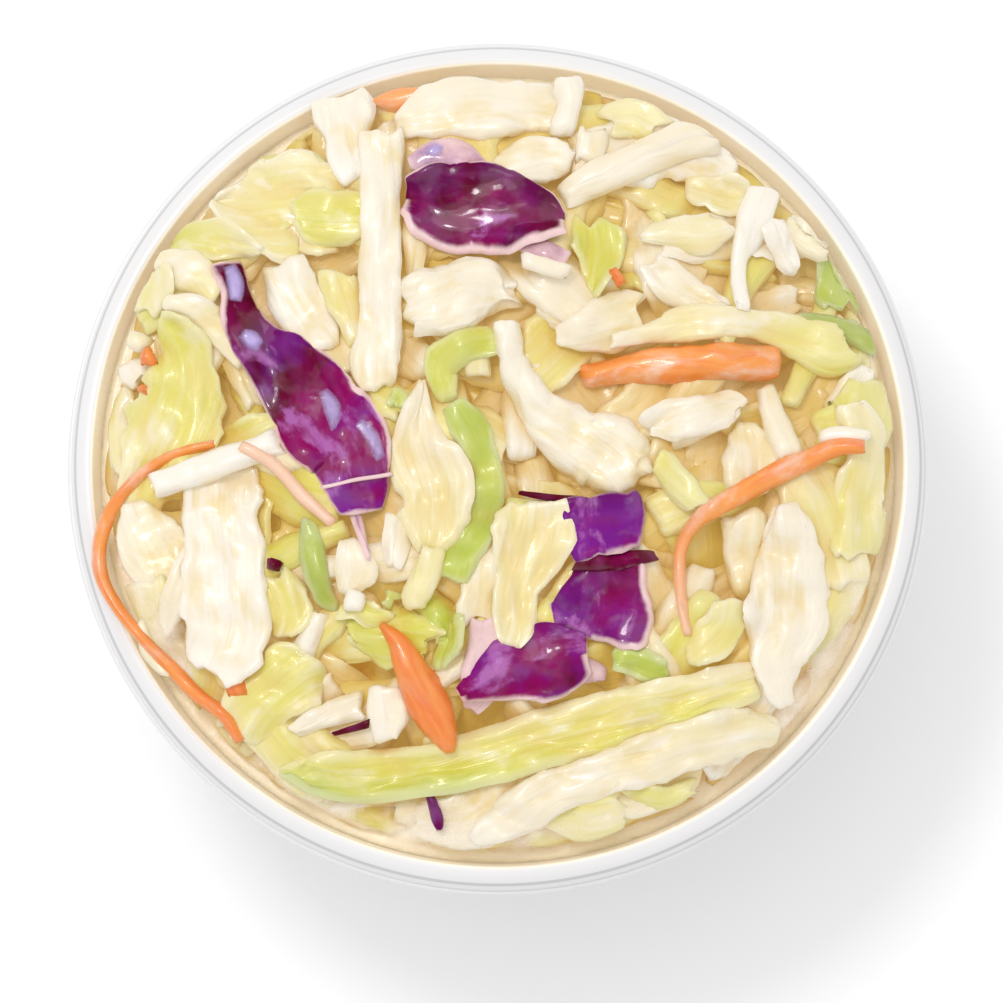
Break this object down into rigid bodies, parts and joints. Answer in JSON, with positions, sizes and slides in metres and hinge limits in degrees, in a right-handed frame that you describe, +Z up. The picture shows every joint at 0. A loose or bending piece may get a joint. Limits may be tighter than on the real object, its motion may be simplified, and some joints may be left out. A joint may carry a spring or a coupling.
{
  "type": "coleslaw in a cup",
  "caption": "Round white plastic cup with a rolled lip, heaped with creamy coleslaw of cabbage, red cabbage and carrot shreds.",
  "frame": {"origin": "middle of the ring that the cup stands on", "axes": "+Z up out of the cup's mouth, +Y away from the viewer, +X to the viewer's right"},
  "size_m": [0.097, 0.097, 0.0597],
  "materials": {
    "cup_plastic": "thin moulded white plastic, softly glossy",
    "coleslaw_food": "wet shredded cabbage, red cabbage and carrot in creamy dressing"
  },
  "bodies": {
    "root": {"cup": "cup_plastic", "coleslaw": "coleslaw_food"}
  },
  "joints": []
}
